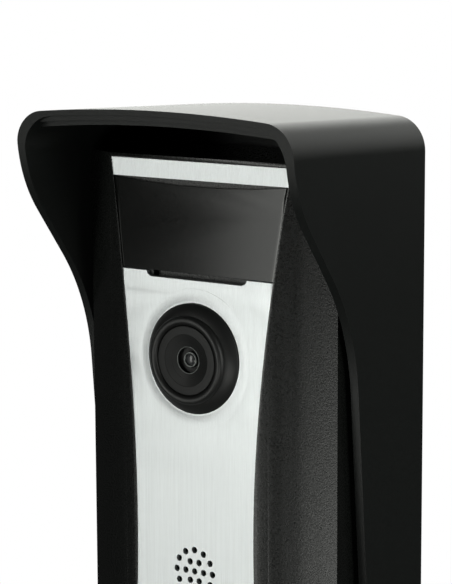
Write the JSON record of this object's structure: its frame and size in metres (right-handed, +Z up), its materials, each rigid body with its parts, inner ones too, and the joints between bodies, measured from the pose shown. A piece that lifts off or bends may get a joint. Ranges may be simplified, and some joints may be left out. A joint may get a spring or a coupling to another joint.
{
  "type": "door intercom panel",
  "caption": "Outdoor video door station with call button, eyeball camera and infrared window, hung on a wall bracket under a swept rain hood.",
  "frame": {"origin": "centre of the four wall screw holes, on the wall face", "axes": "+Z up along the hood, -Y out of the wall towards the visitor, +X to the visitor's right"},
  "size_m": [0.09, 0.0626, 0.1824],
  "materials": {
    "hood_plastic": "fine spark-eroded grain, matte",
    "case_plastic": "fine grain, satin",
    "bezel_plastic": "smooth satin",
    "brushed_panel": "vertical brushed, anodised",
    "smoked_window": "smoked acrylic, satin face",
    "lens_glass": "coated, polished",
    "barrel_black": "matte black",
    "barrel_metal": "dark anodised, turned",
    "zinc_steel": "zinc plated",
    "seal_rubber": "matte rubber",
    "circuit_board": "green solder mask",
    "chip_black": "matte moulded epoxy",
    "led_epoxy": "tinted epoxy dome",
    "sensor_face": "clear coated cell",
    "nylon_white": "natural nylon",
    "terminal_green": "moulded nylon",
    "trimmer_blue": "moulded plastic",
    "cone_film": "polyester film",
    "button_metal": "circular brushed",
    "light_guide": "frosted clear acrylic",
    "spring_steel": "drawn wire",
    "plunger_brass": "satin"
  },
  "bodies": {
    "station": {"rain_hood": "hood_plastic", "wall_bracket": "zinc_steel", "rear_cover": "case_plastic", "case_seal": "seal_rubber", "front_housing": "case_plastic", "front_panel": "brushed_panel", "top_strip": "brushed_panel", "ir_window": "smoked_window", "lens_bezel": "bezel_plastic", "camera_clamp": "case_plastic", "clamp_screws": "zinc_steel", "ir_board": "circuit_board", "ir_leds": "led_epoxy", "light_sensor": "sensor_face", "ir_board_screws": "zinc_steel", "main_board": "circuit_board", "board_chips": "chip_black", "board_screws": "zinc_steel", "terminal_block": "terminal_green", "volume_trimmer": "trimmer_blue", "speaker_basket": "barrel_black", "speaker_cone": "cone_film", "speaker_magnet": "zinc_steel", "speaker_gasket": "seal_rubber", "microphone": "zinc_steel", "mic_boot": "seal_rubber", "button_ring": "light_guide", "button_guide": "case_plastic", "guide_screws": "zinc_steel", "button_spring": "spring_steel", "tact_switch": "chip_black", "cable_grommet": "seal_rubber", "case_screws": "zinc_steel", "locking_screw": "zinc_steel"},
    "pan_washer": {"friction_washer": "nylon_white"},
    "eyeball": {"camera_ball": "bezel_plastic", "lens_barrel": "barrel_black", "lens_retainer": "barrel_metal", "front_lens": "lens_glass", "lens_holder": "barrel_black", "sensor_board": "circuit_board", "image_sensor": "chip_black"},
    "button": {"call_button": "button_metal"},
    "plunger": {"switch_plunger": "plunger_brass"},
    "rotor": {"trimmer_rotor": "nylon_white"}
  },
  "joints": [
    {"name": "camera_pan", "type": "hinge", "parent": "station", "child": "pan_washer", "pos_m": [0, -0.0407, 0.0238], "axis": [0, 0, 1], "range_deg": [-10, 10]},
    {"name": "camera_tilt", "type": "hinge", "parent": "pan_washer", "child": "eyeball", "pos_m": [0, -0.0407, 0.0238], "axis": [1, 0, 0], "range_deg": [-10, 10]},
    {"name": "button_press", "type": "slide", "parent": "station", "child": "button", "axis": [0, 1, 0], "range_m": [0, 0.0006], "stiffness_N_per_m": 1500, "springref_m": -0.001, "deforming": ["button_spring"]},
    {"name": "plunger_press", "type": "slide", "parent": "station", "child": "plunger", "axis": [0, 1, 0], "range_m": [0, 0.0006], "stiffness_N_per_m": 800, "springref_m": -0.0005},
    {"name": "volume_turn", "type": "hinge", "parent": "station", "child": "rotor", "pos_m": [0.018, -0.0182, -0.03], "axis": [0, 1, 0], "range_deg": [-135, 135]}
  ],
  "couplings": [
    {"joint": "plunger_press", "follows": "button_press", "ratio": 1}
  ]
}
